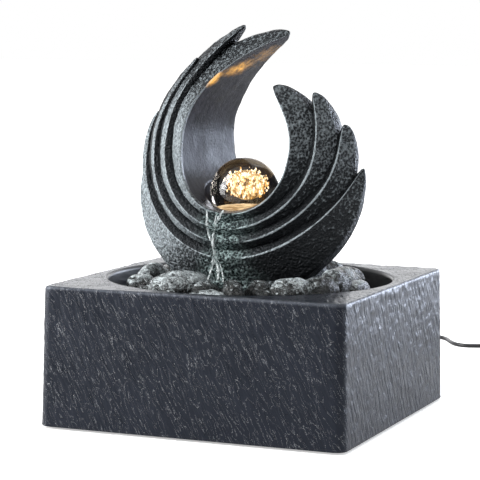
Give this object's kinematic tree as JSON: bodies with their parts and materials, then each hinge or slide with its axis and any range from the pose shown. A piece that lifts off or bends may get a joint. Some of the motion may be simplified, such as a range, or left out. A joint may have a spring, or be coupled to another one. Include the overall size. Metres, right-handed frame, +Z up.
{
  "type": "tabletop water fountain",
  "caption": "Tabletop fountain: a square basin with a round bowl, a cast ring of curved blades on a rock mound, a lit glass ball, a recirculating pump and a low-voltage cord.",
  "frame": {"origin": "on the table under the centre of the basin, cord left out", "axes": "+Z up, the front faces -Y, +X to the right as seen from the front; the cord leaves at +Y"},
  "size_m": [0.3498, 0.5311, 0.2829],
  "materials": {
    "base_resin": "painted cast resin, slate grain",
    "fountain_resin": "painted cast resin, hammered and dry-brushed",
    "stone_resin": "painted cast resin, stone texture",
    "clear_glass": "smoky clear, polished",
    "black_plastic": "moulded",
    "cord_rubber": "satin",
    "foot_rubber": "matt",
    "clear_plastic": "clear",
    "soft_clear": "translucent",
    "gold_plastic": "metallised",
    "board_green": "circuit board",
    "lamp_white": "lamp domes",
    "red_rubber": "matt",
    "steel": "plated",
    "iron": "laminated",
    "copper": "enamelled copper wire",
    "magnet": "sintered",
    "white_plastic": "moulded",
    "ceramic_white": "ground",
    "grey_rubber": "matt"
  },
  "bodies": {
    "basin": {"base_casing": "base_resin", "base_plate": "black_plastic", "base_screws": "steel", "rubber_feet": "foot_rubber", "floor_grommet": "foot_rubber", "cord_relief": "cord_rubber", "motor_block": "black_plastic", "motor_cap": "black_plastic", "stator_core": "iron", "motor_coil": "copper", "pump_chamber": "black_plastic", "rotor_shaft": "ceramic_white", "shaft_bushes": "grey_rubber", "suction_cups": "grey_rubber", "lead_socket": "black_plastic", "socket_lead": "cord_rubber", "pump_lead": "cord_rubber", "power_cord": "cord_rubber", "cord_coil": "cord_rubber", "coil_tie": "black_plastic", "adaptor_tail": "cord_rubber", "adaptor_case": "black_plastic", "adaptor_pins": "steel"},
    "sculpture": {"blade_casting": "fountain_resin", "rock_mound": "stone_resin", "ball_seat": "soft_clear", "light_housing": "black_plastic", "light_lens": "clear_plastic", "lamp_board": "board_green", "lamps": "lamp_white", "light_gasket": "red_rubber", "nozzle": "gold_plastic", "riser_hose": "clear_plastic", "light_lead": "cord_rubber", "lead_plug": "black_plastic"},
    "ball": {"glass_ball": "clear_glass"},
    "rotor": {"impeller": "white_plastic", "rotor_magnet": "magnet"},
    "grille": {"intake_grille": "black_plastic"},
    "slider": {"flow_slider": "grey_rubber"}
  },
  "joints": [
    {"name": "casting_lift", "type": "slide", "parent": "basin", "child": "sculpture", "axis": [0, 0, 1], "range_m": [0, 0.115]},
    {"name": "ball_lift_out", "type": "slide", "parent": "sculpture", "child": "ball", "axis": [0, -0.7071, 0.7071], "range_m": [0, 0.09]},
    {"name": "rotor_spin", "type": "hinge", "parent": "basin", "child": "rotor", "pos_m": [0, -0.011, 0.06], "axis": [0, 1, 0], "continuous": true},
    {"name": "grille_pull", "type": "slide", "parent": "basin", "child": "grille", "axis": [0, -1, 0], "range_m": [0, 0.024]},
    {"name": "flow_set", "type": "slide", "parent": "grille", "child": "slider", "axis": [1, 0, 0], "range_m": [0, 0.006]}
  ]
}
